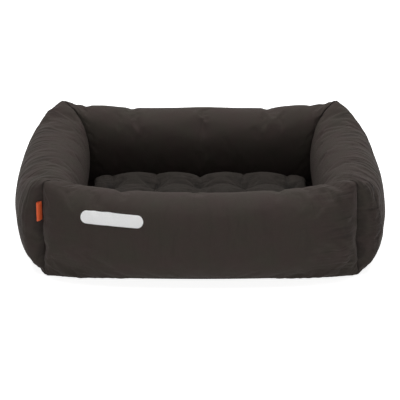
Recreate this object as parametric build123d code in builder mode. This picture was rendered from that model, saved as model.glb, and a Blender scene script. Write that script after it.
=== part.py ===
from build123d import *

import os
from math import cos, pi, sin, sqrt

# A boxed dog bed: four stuffed bolsters sewn to a base, and a tufted mattress that lifts out of
# the well between them. Millimetres. +X is the length, -Y the low front side, +Z up, and the
# origin is on the floor at the centre of the footprint.

os.makedirs("parts", exist_ok=True)

# Rim: every side swells out of vertical corner seams, which are drawn in from a rectangle
seam_length = 824.0
seam_depth = 640.0
side_bulge = 88.0
end_bulge = 80.0
outer_corner = -6.0
inner_reach = 94.0
corner_height = 266.0
side_top = 247.0
rear_top = 241.0
front_top = 231.0
ridge_corner = -11.0
ridge_middle = 2.0
outer_widest = 102.0
inner_widest = 130.0
outer_foot_corner = -10.0
outer_foot_middle = 12.0
inner_foot = 82.0
zip_band_top = 50.0
fold_height = 44.0
fold_depth = 3.0

# Cloth, its slack round a filling, and the gap left at a sewn corner
cloth = 1.6
fill_slack = 1.0
seam_gap = 0.3

# Base under the mattress
wadding_thickness = 4.0
base_edge_gap = 0.5
rest_gap = 0.3

# Zips
rim_zip_height = 15.2
rim_zip_end_margin = 62.0
mattress_zip_length = 360.0
window_height = 13.0
tape_width = 11.0
tape_thickness = 0.6
tape_gap = 1.4
tape_overlap = 6.0
coil_width = 2.0
coil_thickness = 1.4
stop_length = 2.5
stop_clearance = 0.3
fill_pocket = 7.0
slider_length = 11.0
slider_plate = 1.2
slider_flange = 1.0
slider_clearance = 0.25
neck_length = 4.0
neck_clearance = 0.2
ear_length = 3.2
ear_thickness = 1.0
pin_radius = 0.6
pin_clearance = 0.06
eye_radius = 1.3
eye_width = 2.0
eye_clearance = 0.9
eye_side_clearance = 0.15
pull_length = 12.0
pull_width = 5.0
pull_thickness = 1.2
pull_shoulder = 2.6
pull_slot_length = 5.0
pull_slot_width = 2.2
pull_corner = 1.5

# Trim on the front: the folded tab in the left corner seam and the sewn patch
tab_height = 50.0
tab_reach = 17.0
tab_ribbon = 0.9
tab_fold_gap = 0.6
tab_centre_height = 189.0
tab_seam_gap = 2.4
patch_length = 160.0
patch_height = 31.0
patch_thickness = 1.0
patch_seat = 0.2
patch_offset = -224.0
patch_centre_height = 191.0
patch_tilt = 3.9

# Mattress
mattress_length = 618.0
mattress_depth = 430.0
mattress_thickness = 86.0
mattress_corner = 30.0
border_bottom = 18.0
border_top = 56.0
edge_overrun = 4.0
crown_drop = 9.0
side_draw = 7.0
tuft_pitch_length = 126.0
tuft_pitch_depth = 118.0
tuft_columns = 5
tuft_rows = 3
tuft_depth = 27.0
valley_depth = 11.0
tie_radius = 1.2
tie_clearance = 0.3
tack_radius = 2.2
tack_thickness = 1.4
tack_lift = 4.0

cut_overrun = 10.0

# How a side swells from a corner seam (share 0) to its middle (share 1), and how many sections
# shape each half of it
section_steps = 6
swell_power = 2.4
swell_root = 1.75
corner_slope = 1.15
corner_softness = 4
ridge_ease = 2.5
foot_ease = 4
top_ease = 3
front_top_ease = 2.1

# How a section of a side rounds, from its outer foot over the top to the zip
low_roundness = 2.6
high_roundness = 2.4
inner_roundness_corner = 2.0
inner_roundness_middle = 2.3

# Where the mattress rounds over from its puffs to its border, from the border inwards, and how far
# the slice there has come down
shoulder_share = 0.12
puff_share = 0.55
border_drop_share = 0.92
shoulder_drop_share = 0.35

UP = Vector(0, 0, 1)

rest_height = 2 * cloth + wadding_thickness + rest_gap
mattress_zip_height = rest_height + (border_bottom + border_top) / 2
slider_half_width = tape_gap / 2 + coil_width + slider_clearance + slider_flange
plate_floor = coil_thickness - cloth + slider_clearance
plate_top = plate_floor + slider_plate
pin_height = plate_top + eye_clearance + eye_radius


def swell(share):
    """Rises fast out of the corner seam, as a stuffed tube does."""
    return (1 - (1 - share) ** swell_power) ** (1 / swell_root)


def ease(share, power):
    return 1 - (1 - share) ** power


def lesser(one, other):
    """The lesser of two sizes, with a soft change from one to the other."""
    both = (one**corner_softness + other**corner_softness) ** (1 / corner_softness)
    return one * other / both if both else 0


def between(start, end, share):
    return start + (end - start) * share


def quarter(turn, roundness):
    """Cosine and sine of a quarter superellipse, for turn from 0 to 1."""
    angle = turn * pi / 2
    return abs(cos(angle)) ** (2 / roundness), abs(sin(angle)) ** (2 / roundness)


class Side:
    """One side of the rim: where it stands, how long it is and how far it swells."""

    def __init__(self, name, outward, length, reach, bulge, top, fall):
        self.name = name
        self.outward = Vector(*outward)
        self.along = UP.cross(self.outward)
        self.length = length
        self.reach = reach
        self.bulge = bulge
        self.top = top
        self.fall = fall

    def outer(self, share):
        """How far it stands out of the rectangle. At a corner it leaves the seam at a slant, so that
        two sides meet there without a deep groove."""
        swollen = (self.bulge - outer_corner) * swell(share)
        slanted = corner_slope * share * self.length / 2
        return outer_corner + lesser(swollen, slanted)

    def place(self, run, out, height):
        return self.along * run + self.outward * (self.reach + out) + UP * height

    def inner_plane(self, out, height):
        """X along the side, Y up and the normal towards the well."""
        return Plane(self.place(0, out, height), x_dir=-self.along, z_dir=-self.outward)

    def zip_length(self):
        return self.length - 2 * (inner_reach + rim_zip_end_margin)


sides = (
    Side("front", (0, -1, 0), seam_length, seam_depth / 2, end_bulge, front_top, front_top_ease),
    Side("rear", (0, 1, 0), seam_length, seam_depth / 2, end_bulge, rear_top, top_ease),
    Side("left", (-1, 0, 0), seam_depth, seam_length / 2, side_bulge, side_top, top_ease),
    Side("right", (1, 0, 0), seam_depth, seam_length / 2, side_bulge, side_top, top_ease),
)


def bolster_arcs(side, share, inset):
    """The cross-section of a bolster as arcs from its outer foot over the top to the fold above its
    zip, each through three points of (outward, height). Both ends lie past what is trimmed off."""
    outer = side.outer(share) - inset
    inner = inset - inner_reach
    top = between(corner_height, side.top, ease(share, side.fall)) - inset
    ridge = between(ridge_corner, ridge_middle, ease(share, ridge_ease))
    foot = between(outer_foot_corner, outer_foot_middle, ease(share, foot_ease)) - inset
    floor = cloth + inset
    trim = edge_overrun / (outer_widest - floor)
    inner_roundness = between(inner_roundness_corner, inner_roundness_middle, share)

    def outer_low(turn):
        height = between(floor, outer_widest, turn)
        return outer - (outer - foot) * (1 - turn) ** low_roundness, height

    def outer_high(turn):
        across, rise = quarter(turn, high_roundness)
        return between(ridge, outer, across), between(outer_widest, top, rise)

    def inner_high(turn):
        across, rise = quarter(1 - turn, inner_roundness)
        return between(ridge, inner, across), between(inner_widest, top, rise)

    return (
        (outer_low(-trim), outer_low((1 - trim) / 2), outer_low(1)),
        (outer_high(0), outer_high(1 / 4), outer_high(1 / 2)),
        (outer_high(1 / 2), outer_high(3 / 4), outer_high(1)),
        (inner_high(0), inner_high(1 / 4), inner_high(1 / 2)),
        (inner_high(1 / 2), (inner, inner_widest), (inset - inner_foot - fold_depth, fold_height)),
    )


def bolster_section(side, spot, inset):
    """One cross-section, at spot from -1 to 1 along the side. The planes fan out towards the
    ends, so that the first and the last are the mitre planes of the corners."""
    half = side.length / 2 - (inset + seam_gap / 2) * sqrt(2)
    across = side.outward + side.along * spot
    arcs = [
        [(out * across.length, height) for out, height in arc]
        for arc in bolster_arcs(side, 1 - abs(spot), inset)
    ]
    foot, fold = arcs[0][0], arcs[-1][-1]
    with BuildSketch(Plane(side.place(spot * half, 0, 0), x_dir=across, z_dir=across.cross(UP))) as section:
        with BuildLine():
            for arc in arcs:
                ThreePointArc(*arc)
            Polyline(fold, (fold[0], foot[1]), foot)
        make_face()
    return section.sketch


def bolster_sections(side, inset):
    """Sections at even steps from one corner seam to the other."""
    steps = range(-section_steps, section_steps + 1)
    return [bolster_section(side, step / section_steps, inset) for step in steps]


def bolster_form(side, inset):
    """The stuffed shape of a side, trimmed flat along the floor and along the band that holds its
    zip, which lies under a fold."""
    with BuildPart() as form:
        loft(bolster_sections(side, inset))
        with BuildSketch(Plane.XY.offset(cloth + inset)):
            Rectangle(2 * seam_length, 2 * seam_length)
        extrude(amount=-2 * cut_overrun, mode=Mode.SUBTRACT)
        with BuildSketch(side.inner_plane(inset - inner_foot, 0)):
            Rectangle(side.length, 2 * (zip_band_top + inset))
        extrude(amount=cut_overrun, mode=Mode.SUBTRACT)
    return form.part


def export(part, name):
    part.label = name
    export_step(part, f"parts/{name}.step")


def zip_pocket(length):
    """The outline of the room that a filling leaves behind a zip."""
    Rectangle(
        length + 2 * (tape_overlap + fill_slack),
        2 * (tape_width + fill_slack) + tape_gap,
    )


def make_zip(name, face, length):
    """A zip in a slot of that length. face lies on the outside of the cloth with X along the zip,
    and the slider waits at the +X end."""
    with BuildPart() as tapes:
        with BuildSketch(face.offset(-cloth)):
            for sign in (-1, 1):
                with Locations((0, sign * (tape_gap + tape_width) / 2)):
                    Rectangle(length + 2 * tape_overlap, tape_width)
        extrude(amount=-tape_thickness)
    export(tapes.part, f"{name}_zip_tapes")

    with BuildPart() as coils:
        with BuildSketch(face.offset(-cloth)):
            for sign in (-1, 1):
                with Locations((0, sign * (tape_gap + coil_width) / 2)):
                    Rectangle(length - 2 * stop_length, coil_width)
        extrude(amount=coil_thickness)
    export(coils.part, f"{name}_zip_coils")

    with BuildPart() as stops:
        with BuildSketch(face.offset(-cloth)):
            with GridLocations(length - stop_length, 0, 2, 1):
                Rectangle(stop_length, tape_gap + 2 * coil_width)
        extrude(amount=coil_thickness)
    export(stops.part, f"{name}_zip_stops")

    rest = length / 2 - stop_length - stop_clearance - slider_length / 2
    make_slider(name, face.shift_origin(face.from_local_coords((rest, 0, 0))))


def make_slider(name, face):
    """The slider round both coils, with ears that hold a pin, and the pull that hangs on the pin."""
    back_plate_top = -cloth - tape_thickness - slider_clearance
    ear_offset = (eye_width + ear_thickness) / 2 + eye_side_clearance
    with BuildPart() as slider:
        with BuildSketch(face.offset(plate_floor)):
            RectangleRounded(slider_length, 2 * slider_half_width, slider_flange)
        extrude(amount=slider_plate)
        with BuildSketch(face.offset(back_plate_top)):
            RectangleRounded(slider_length, 2 * slider_half_width, slider_flange)
        extrude(amount=-slider_plate)
        with BuildSketch(face.offset(slider_clearance - cloth)):
            for sign in (-1, 1):
                with Locations((0, sign * (slider_half_width - slider_flange / 2))):
                    Rectangle(slider_length - 2 * slider_flange, slider_flange)
        extrude(until=Until.NEXT)
        with BuildSketch(face.offset(back_plate_top)):
            with Locations(((slider_length - neck_length) / 2 - slider_flange, 0)):
                Rectangle(neck_length, tape_gap - 2 * neck_clearance)
        extrude(amount=plate_floor - back_plate_top)
        with BuildSketch(face.offset(plate_top)):
            for sign in (-1, 1):
                with Locations((0, sign * ear_offset)):
                    Rectangle(ear_length, ear_thickness)
        extrude(amount=eye_clearance + 2 * eye_radius)
        with BuildSketch(across_plane(face)):
            Circle(pin_radius)
        extrude(amount=ear_offset, both=True)
    export(slider.part, f"{name}_zip_slider")

    with BuildPart() as pull:
        with BuildSketch(across_plane(face)):
            Circle(eye_radius)
            with Locations((pull_shoulder / 2, 0)):
                Rectangle(pull_shoulder, pull_thickness)
            Circle(pin_radius + pin_clearance, mode=Mode.SUBTRACT)
        extrude(amount=eye_width / 2, both=True)
        with BuildSketch(face.offset(pin_height - pull_thickness / 2)):
            with Locations(((pull_shoulder + pull_length) / 2, 0)):
                RectangleRounded(pull_length - pull_shoulder, pull_width, pull_corner)
                SlotOverall(pull_slot_length, pull_slot_width, mode=Mode.SUBTRACT)
        extrude(amount=pull_thickness)
    export(pull.part, f"{name}_zip_pull")


def across_plane(face):
    """A plane through the pin's centre, square to the pin: X along the zip, Y away from the cloth."""
    centre = face.from_local_coords((0, 0, pin_height))
    return Plane(centre, x_dir=face.x_dir, z_dir=-face.y_dir)


def make_bolster(side):
    """The sewn cover, hollow and slotted for its zip, the filling that fits in it, and the zip."""
    face = side.inner_plane(-inner_foot, rim_zip_height)
    length = side.zip_length()
    with BuildPart() as cover:
        add(bolster_form(side, 0))
        add(bolster_form(side, cloth), mode=Mode.SUBTRACT)
        with BuildSketch(face):
            Rectangle(length, window_height)
        extrude(amount=cut_overrun, both=True, mode=Mode.SUBTRACT)
    export(cover.part, f"rim_cover_{side.name}")

    with BuildPart() as fill:
        add(bolster_form(side, cloth + fill_slack))
        with BuildSketch(face.offset(-fill_pocket)):
            zip_pocket(length)
        extrude(amount=fill_pocket + cut_overrun, mode=Mode.SUBTRACT)
    export(fill.part, f"rim_fill_{side.name}")

    make_zip(side.name, face, length)


def make_base():
    """The bottom cloth under the whole bed, and the wadding and lining inside the bolsters."""
    with BuildPart() as bottom:
        with BuildSketch():
            with BuildLine():
                corner_x = seam_length / 2 + outer_foot_corner
                corner_y = seam_depth / 2 + outer_foot_corner
                middle_x = seam_length / 2 + outer_foot_middle
                middle_y = seam_depth / 2 + outer_foot_middle
                signs = ((-1, -1), (1, -1), (1, 1), (-1, 1))
                corners = [(sign_x * corner_x, sign_y * corner_y) for sign_x, sign_y in signs]
                middles = [(0, -middle_y), (middle_x, 0), (0, middle_y), (-middle_x, 0)]
                for index, middle in enumerate(middles):
                    ThreePointArc(corners[index], middle, corners[(index + 1) % len(corners)])
            make_face()
        extrude(amount=cloth)
    export(bottom.part, "base_bottom")

    well_length = seam_length - 2 * (inner_foot + base_edge_gap)
    well_depth = seam_depth - 2 * (inner_foot + base_edge_gap)
    for name, floor, thickness in (
        ("base_wadding", cloth, wadding_thickness),
        ("base_lining", cloth + wadding_thickness, cloth),
    ):
        with BuildPart() as layer:
            with BuildSketch(Plane.XY.offset(floor)):
                Rectangle(well_length, well_depth)
            extrude(amount=thickness)
        export(layer.part, name)


def make_tab():
    """A ribbon folded into a flat loop, sewn into the front left corner seam."""
    floor = tab_centre_height - tab_height / 2
    corner = Vector(-seam_length / 2 - outer_corner, -seam_depth / 2 - outer_corner, floor)
    outward = Vector(-1, -1, 0).normalized()
    fold_radius = tab_fold_gap / 2 + tab_ribbon
    with BuildPart() as tab:
        with BuildSketch(Plane(corner + outward * tab_seam_gap, x_dir=outward, z_dir=UP)):
            with Locations(((tab_reach - fold_radius) / 2, 0)):
                Rectangle(tab_reach - fold_radius, 2 * fold_radius)
                Rectangle(tab_reach - fold_radius, tab_fold_gap, mode=Mode.SUBTRACT)
            with Locations((tab_reach - fold_radius, 0)):
                Circle(fold_radius)
                Circle(tab_fold_gap / 2, mode=Mode.SUBTRACT)
        extrude(amount=tab_height)
    export(tab.part, "side_tab")


def make_patch(side):
    """A pill-shaped patch that follows the swell of the front cover."""
    with BuildPart() as patch:
        loft(bolster_sections(side, -patch_seat - patch_thickness))
        loft(bolster_sections(side, -patch_seat), mode=Mode.SUBTRACT)
        front = Plane(
            (patch_offset, -seam_depth / 2, patch_centre_height),
            x_dir=(1, 0, 0),
            z_dir=(0, -1, 0),
        )
        with BuildSketch(front):
            SlotOverall(patch_length, patch_height, rotation=-patch_tilt)
        extrude(amount=2 * side.bulge, mode=Mode.INTERSECT)
    export(patch.part, "front_patch")


def tuft_rowness(offset):
    """1 on a row of tufts and 0 halfway between two rows, for an offset across the mattress."""
    rows = [(row - (tuft_rows - 1) / 2) * tuft_pitch_depth for row in range(tuft_rows)]
    nearest = min(abs(offset - row) for row in rows)
    return max(0, 1 - 2 * nearest / tuft_pitch_depth)


def crown_height(run, offset):
    """The height that the puffs reach, highest at the middle of the mattress."""
    spread = (2 * run / mattress_length) ** 2 + (2 * offset / mattress_depth) ** 2
    return rest_height + mattress_thickness - crown_drop * spread / 2


def mattress_section(offset, end_drop, inset):
    """A slice across the mattress, past its edges: arcs that puff up between the tufts.
    end_drop runs from 0 to 1 towards the front and rear edges."""
    draw = side_draw * (1 - (2 * offset / mattress_depth) ** 2)
    half = mattress_length / 2 + edge_overrun - draw - inset
    low = rest_height - cut_overrun
    high = rest_height + border_top
    row = tuft_rowness(offset) * (1 - end_drop)
    valley = between(valley_depth, tuft_depth, row) * (1 - end_drop)

    def upper(run, sink):
        return run, between(crown_height(run, offset) - sink, high, end_drop) - inset

    columns = [(column - (tuft_columns - 1) / 2) * tuft_pitch_length for column in range(tuft_columns)]
    tops = [(-half, high)] + [upper(run, valley) for run in columns] + [(half, high)]
    with BuildSketch(Plane((0, offset, 0), x_dir=(1, 0, 0), z_dir=(0, -1, 0))) as section:
        with BuildLine():
            for start, end in zip(tops, tops[1:]):
                ThreePointArc(start, upper((start[0] + end[0]) / 2, valley_depth * row), end)
            Polyline(tops[-1], (half, low), (-half, low), tops[0])
        make_face()
    return section.sketch


def mattress_sections(inset):
    """Slices from front to rear: the borders, their shoulders, the tuft rows and the puffs."""
    border = mattress_depth / 2 + edge_overrun - inset
    outer_row = (tuft_rows - 1) / 2 * tuft_pitch_depth
    shoulder = between(border, outer_row, shoulder_share)
    puff = between(border, outer_row, puff_share)
    steps = 2 * (tuft_rows - 1)
    slices = [(-border, border_drop_share), (-shoulder, shoulder_drop_share), (-puff, 0)]
    slices += [(between(-outer_row, outer_row, step / steps), 0) for step in range(steps + 1)]
    slices += [(puff, 0), (shoulder, shoulder_drop_share), (border, border_drop_share)]
    return [mattress_section(offset, end_drop, inset) for offset, end_drop in slices]


def mattress_block(inset):
    """A flat block with the outline of the mattress, drawn in at the middle of its front and of its
    ends, and rounded along its lower edge."""
    right = mattress_length / 2 - inset
    rear = mattress_depth / 2 - inset
    with BuildPart() as block:
        with BuildSketch(Plane.XY.offset(rest_height + inset)) as plan:
            with BuildLine():
                Line((right, rear), (-right, rear))
                ThreePointArc((-right, rear), (side_draw - right, 0), (-right, -rear))
                ThreePointArc((-right, -rear), (0, side_draw - rear), (right, -rear))
                ThreePointArc((right, -rear), (right - side_draw, 0), (right, rear))
            make_face()
            fillet(plan.vertices(), mattress_corner - inset)
        extrude(amount=mattress_thickness + cut_overrun)
        fillet(block.faces().sort_by(Axis.Z)[0].edges(), border_bottom - inset)
    return block.part


def mattress_form(inset):
    """The stuffed shape: puffed and tufted on top, and flat where it lies on the base."""
    with BuildPart() as form:
        loft(mattress_sections(inset))
        add(mattress_block(inset), mode=Mode.INTERSECT)
    return form.part


def tuft_holes():
    """Room for the tie of every tuft, straight through."""
    with BuildPart() as holes:
        with BuildSketch(Plane.XY.offset(rest_height - cut_overrun)):
            with GridLocations(tuft_pitch_length, tuft_pitch_depth, tuft_columns, tuft_rows):
                Circle(tie_radius + tie_clearance)
        extrude(amount=mattress_thickness + 2 * cut_overrun)
    return holes.part


def make_mattress():
    face = Plane((0, mattress_depth / 2, mattress_zip_height), x_dir=(-1, 0, 0), z_dir=(0, 1, 0))
    with BuildPart() as cover:
        add(mattress_form(0))
        add(mattress_form(cloth), mode=Mode.SUBTRACT)
        with BuildSketch(face):
            Rectangle(mattress_zip_length, window_height)
        extrude(amount=cut_overrun, both=True, mode=Mode.SUBTRACT)
        add(tuft_holes(), mode=Mode.SUBTRACT)
    for name, keep in (("mattress_cover_top", Keep.TOP), ("mattress_cover_bottom", Keep.BOTTOM)):
        with BuildPart() as half:
            add(cover.part)
            split(bisect_by=Plane.XY.offset(mattress_zip_height), keep=keep)
        export(half.part, name)

    with BuildPart() as core:
        add(mattress_form(cloth + fill_slack))
        with BuildSketch(face.offset(-fill_pocket)):
            zip_pocket(mattress_zip_length)
        extrude(amount=fill_pocket + cut_overrun, mode=Mode.SUBTRACT)
        add(tuft_holes(), mode=Mode.SUBTRACT)
    export(core.part, "mattress_core")

    make_ties()
    make_zip("mattress", face, mattress_zip_length)


def make_ties():
    """The thread of each tuft, drawn tight between the underside and a tack on top."""
    low = rest_height + tie_clearance
    with BuildPart() as ties:
        for spot in GridLocations(tuft_pitch_length, tuft_pitch_depth, tuft_columns, tuft_rows):
            run, offset, _ = spot.position
            high = crown_height(run, offset) - tuft_depth + tack_lift
            for floor, radius, height in (
                (low, tie_radius, high - low),
                (high, tack_radius, tack_thickness),
            ):
                with BuildSketch(Plane.XY.offset(floor)):
                    with Locations((run, offset)):
                        Circle(radius)
                extrude(amount=height)
    export(ties.part, "mattress_tuft_ties")


for side in sides:
    make_bolster(side)
make_base()
make_tab()
make_patch(sides[0])
make_mattress()
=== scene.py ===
import math

import bmesh
import bpy
import numpy as np
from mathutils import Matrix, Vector, noise
from mathutils.bvhtree import BVHTree


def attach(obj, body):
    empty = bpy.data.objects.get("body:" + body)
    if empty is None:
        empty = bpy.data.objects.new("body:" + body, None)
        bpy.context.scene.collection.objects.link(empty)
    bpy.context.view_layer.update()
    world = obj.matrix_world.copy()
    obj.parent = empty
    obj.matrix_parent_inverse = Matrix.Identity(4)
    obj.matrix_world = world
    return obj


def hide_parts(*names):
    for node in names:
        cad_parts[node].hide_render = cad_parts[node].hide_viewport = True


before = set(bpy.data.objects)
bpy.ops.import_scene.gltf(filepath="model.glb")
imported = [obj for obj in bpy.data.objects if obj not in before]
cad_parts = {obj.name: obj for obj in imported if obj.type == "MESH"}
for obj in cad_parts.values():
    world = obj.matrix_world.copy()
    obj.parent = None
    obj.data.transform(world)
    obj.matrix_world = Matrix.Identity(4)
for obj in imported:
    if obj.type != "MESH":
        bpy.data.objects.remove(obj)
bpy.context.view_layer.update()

# Looks for a boxed dog bed: four stuffed bolsters sewn to a base, and a tufted mattress that lifts
# out of the well between them. Metres. +X is the length, -Y the low front side and +Z up.

# The rim's form, as its solids have it
seam_length, seam_depth = 0.824, 0.640
inner_reach, inner_foot = 0.094, 0.082
corner_height = 0.266
ridge_corner, ridge_middle = -0.011, 0.002
outer_widest, inner_widest = 0.102, 0.130
outer_corner, corner_slope, corner_softness = -0.006, 1.15, 4
outer_foot_corner, outer_foot_middle = -0.010, 0.012
zip_band_top, fold_depth, fold_rise = 0.050, 0.0035, 0.001
cloth = 0.0016
seam_gap = 0.0003
filling_inset = 0.016
# Each side's outward direction, the length of its seams and their distance from the centre, its bulge
# and its height at the middle, and how soon it comes down to that height from its corners
sides = {
    "front": ((0, -1), seam_length, seam_depth / 2, 0.080, 0.231, 2.1),
    "rear": ((0, 1), seam_length, seam_depth / 2, 0.080, 0.241, 3.0),
    "left": ((-1, 0), seam_depth, seam_length / 2, 0.088, 0.247, 3.0),
    "right": ((1, 0), seam_depth, seam_length / 2, 0.088, 0.247, 3.0),
}

# The powers of the rim's curves: its plan, its ridge and foot along it, and its section from the foot
plan_power, plan_roundness = 2.4, 1.75
ridge_power, foot_power = 2.5, 4
low_power, high_roundness, inside_roundness, inside_fullness, down_power = 2.6, 2.4, 2.0, 0.3, 2.2

# How the stuffed rim settles: what its feet spread, its waist and rear right end draw in, and its rear
# corners and the ridge beside them rise
foot_height, foot_spread, spread_right, spread_left = 0.045, 0.003, 0.017, 0.006
waist_height, waist_reach, waist_left, waist_right = 0.080, 0.035, 0.006, 0.001
slack_right = 0.005
ear_lift, ear_x, ear_y, ear_reach = 0.009, 0.45, 0.30, 0.055
ridge_lift, ridge_x, ridge_reach = 0.004, 0.29, 0.08

# Zips
rim_zip_height = 0.0152
rim_zip_end_margin = 0.062
window_height = 0.013
mattress_zip_length = 0.360
tape_width, tape_gap, tape_thickness, tape_overlap = 0.011, 0.0014, 0.0006, 0.006
coil_width, coil_thickness, stop_length = 0.0020, 0.0014, 0.0025
tooth_pitch = 0.0015

# Base, tab and patch
wadding_thickness = 0.004
base_edge_gap = 0.0005
wadding_filled, lining_lift, lining_thickness, layer_gap = 0.0034, 0.0009, 0.0012, 0.0001
bottom_thickness, bottom_area_share = 0.0015, 0.961
quilt_pitch, quilt_depth, quilt_width = 0.08, 0.0007, 0.004
tab_height, tab_reach, tab_centre, tab_seam_gap = 0.050, 0.017, 0.189, 0.0024
patch_length, patch_height, patch_tilt = 0.160, 0.031, math.radians(3.9)
patch_offset, patch_centre = -0.224, 0.191
ribbon_thickness, patch_thickness, patch_gap = 0.0009, 0.0010, 0.0009
stitch_inset, stitch_gap, stitch_radius = 0.0022, 0.0017, 0.0003

# Mattress
rest_height = 0.0075
mattress_length, mattress_depth, mattress_thickness = 0.618, 0.430, 0.086
mattress_corner = 0.030
border_bottom, border_top = 0.018, 0.056
crown_drop = 0.009
side_draw = 0.007
tuft_columns = np.array([-0.252, -0.126, 0.0, 0.126, 0.252])
tuft_rows = np.array([-0.118, 0.0, 0.118])
tuft_depth, valley_depth, crease_depth = 0.027, 0.006, 0.012
tuft_reach, valley_reach = 0.026, 0.016
top_roll, underside_roll = (0.16, 0.20), (0.058, 0.084)
foam_gap, foam_floor_gap, foam_least = 0.010, 0.004, 0.010
mattress_zip_height = rest_height + (border_bottom + border_top) / 2


def coordinates(mesh, kind="co"):
    """The place of each point of the mesh, or with another kind its normal."""
    flat = np.empty(len(mesh.vertices) * 3)
    mesh.vertices.foreach_get(kind, flat)
    return flat.reshape(-1, 3)


def set_share(mesh, name, values):
    """Keeps a value at each point of the mesh, for its material."""
    layer = mesh.attributes.new(name, "FLOAT", "POINT")
    full = np.zeros(len(mesh.vertices), dtype=np.float32)
    full[: values.size] = values.ravel()
    layer.data.foreach_set("value", full)


def set_coordinates(mesh, points):
    mesh.vertices.foreach_set("co", points.ravel())
    mesh.update()


def lift_points(mesh, lift):
    """Moves the mesh's first points along their normals."""
    points = coordinates(mesh)
    points[: len(lift)] += coordinates(mesh, "normal")[: len(lift)] * lift[:, None]
    set_coordinates(mesh, points)


def field(points, scale, seed=0.0):
    """Smooth noise from -1 to 1 at each point."""
    shift = Vector((seed, 1.7 * seed, -2.3 * seed))
    return np.array([noise.noise(Vector(point) * scale + shift) for point in points])


def ease(share, power):
    return 1 - (1 - share) ** power


def smooth_step(low, high, value):
    share = np.clip((value - low) / (high - low), 0, 1)
    return share * share * (3 - 2 * share)


def add_object(name, points, faces, uvs=None):
    """A smooth mesh object, with each face corner's place on the flat cloth where uvs gives it."""
    mesh = bpy.data.meshes.new(name)
    mesh.from_pydata(np.asarray(points).tolist(), [], faces)
    mesh.update()
    if uvs is not None:
        layer = mesh.uv_layers.new(name="weave")
        layer.data.foreach_set("uv", np.asarray(uvs, dtype=np.float32).ravel())
    for polygon in mesh.polygons:
        polygon.use_smooth = True
    obj = bpy.data.objects.new(name, mesh)
    bpy.context.scene.collection.objects.link(obj)
    return obj


def quarter(turn, roundness):
    """A quarter of a superellipse, as shares across and up."""
    angle = turn * np.pi / 2
    return np.abs(np.cos(angle)) ** (2 / roundness), np.abs(np.sin(angle)) ** (2 / roundness)


def plan_shares(columns, rows):
    """A grid of shares from -1 to 1 along and across."""
    return np.meshgrid(np.linspace(-1, 1, columns), np.linspace(-1, 1, rows), indexing="ij")


def grid_faces(rows, columns):
    """The quads of a grid of points, and its edge as a loop."""
    index = np.arange(rows * columns).reshape(rows, columns)
    quads = np.stack([index[:-1, :-1], index[1:, :-1], index[1:, 1:], index[:-1, 1:]], -1).reshape(-1, 4)
    edge = np.concatenate([index[:, 0], index[-1, 1:], index[-2::-1, -1], index[0, -2:0:-1]])
    return quads, edge


def ring_faces(rings, count):
    """The quads between rings of count points each."""
    index = np.arange(rings * count).reshape(rings, count)
    follow = np.roll(index, -1, axis=1)
    return np.stack([index[:-1], index[1:], follow[1:], follow[:-1]], -1).reshape(-1, 4).tolist()


def between(upper, lower):
    """The points and faces of a closed solid between two grids of points."""
    quads, edge = grid_faces(*upper.shape[:2])
    points = np.concatenate([upper.reshape(-1, 3), lower.reshape(-1, 3)])
    follow, low = np.roll(edge, -1), len(points) // 2
    rim = np.stack([follow, edge, edge + low, follow + low], -1)
    return points, np.concatenate([quads, quads[:, ::-1] + low, rim])


def even(points, count):
    """The same open line with count points, evenly spaced along it."""
    steps = np.linalg.norm(np.diff(points, axis=0), axis=1)
    length = np.concatenate([[0], np.cumsum(steps)])
    at = np.linspace(0, length[-1], count)
    return np.stack([np.interp(at, length, points[:, axis]) for axis in range(points.shape[1])], 1)


def outline(share, side, inset, steps=60):
    """Cross-section of a bolster from its outer foot over the top to the fold over its zip: (out, up).
    The share is 0 at a corner seam and 1 at the middle of the side."""
    _, length, _, bulge, middle_top, fall = side
    swollen = (bulge - outer_corner) * (1 - (1 - share) ** plan_power) ** (1 / plan_roundness)
    slanted = corner_slope * share * length / 2
    both = (swollen**corner_softness + slanted**corner_softness) ** (1 / corner_softness)
    outer = outer_corner + (swollen * slanted / both if both else 0) - inset
    inner = inset - inner_reach
    top = corner_height + (middle_top - corner_height) * ease(share, fall) - inset
    ridge = ridge_corner + (ridge_middle - ridge_corner) * ease(share, ridge_power)
    foot = outer_foot_corner + (outer_foot_middle - outer_foot_corner) * ease(share, foot_power) - inset
    floor = cloth + inset
    turn = np.linspace(0, 1, steps)
    rise = floor + (outer_widest - floor) * turn
    low = np.stack([outer - (outer - foot) * (1 - turn) ** low_power, rise], 1)
    across, rise = quarter(turn, high_roundness)
    high = np.stack([ridge + (outer - ridge) * across, outer_widest + (top - outer_widest) * rise], 1)
    across, rise = quarter(1 - turn, inside_roundness + inside_fullness * share)
    inside = np.stack([ridge + (inner - ridge) * across, inner_widest + (top - inner_widest) * rise], 1)
    fall_to = inner_widest + (zip_band_top + fold_rise - inner_widest) * turn
    down = np.stack([inner + (inset - inner_foot - fold_depth - inner) * turn**down_power, fall_to], 1)
    return np.concatenate([low, high[1:], inside[1:], down[1:]])


# The heights of the rows of a zip band, from its top to the floor, and those that its window spans
band_rows = np.array([0.0485, 0.040, 0.030, 0.0217, rim_zip_height, 0.0087, cloth])
window_rows = 3, 6


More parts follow.
